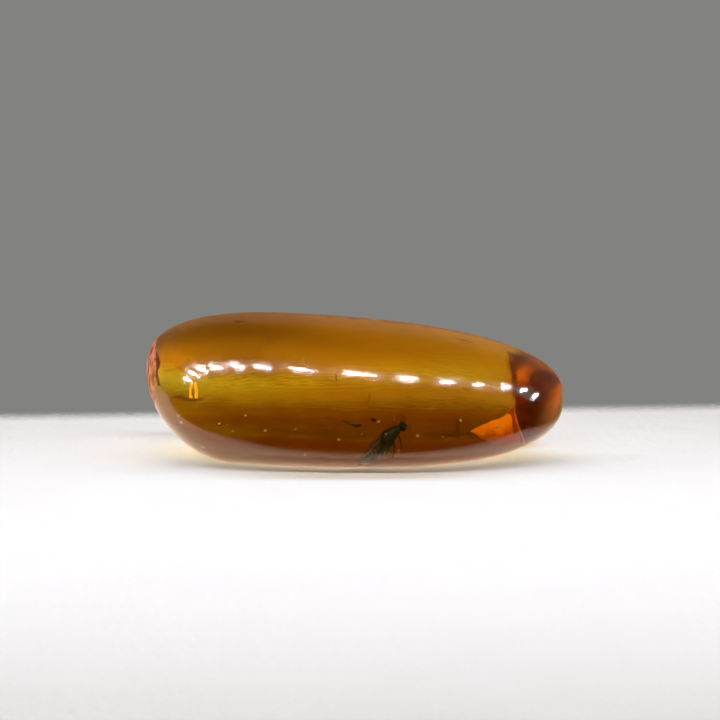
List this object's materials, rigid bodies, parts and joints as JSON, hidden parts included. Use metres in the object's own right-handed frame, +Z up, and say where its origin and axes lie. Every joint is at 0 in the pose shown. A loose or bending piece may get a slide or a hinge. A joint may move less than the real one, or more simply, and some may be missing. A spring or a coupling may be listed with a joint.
{
  "type": "insect in amber",
  "caption": "Polished long oval cabochon of clear golden amber with a small insect sealed inside, resting on its flat ground back.",
  "frame": {"origin": "on the resting plane, under the middle of the piece's length and width", "axes": "+X along the piece from the blunt end to the tapered end, +Z up, -Y towards the side that shows the insect best"},
  "size_m": [0.02, 0.0104, 0.0072],
  "materials": {
    "amber": "polished, see-through",
    "insect": "dark horny skin",
    "wing": "thin clear film",
    "bubble": "trapped air",
    "debris": "charred plant crumbs"
  },
  "bodies": {
    "root": {"amber": "amber"}
  },
  "joints": []
}
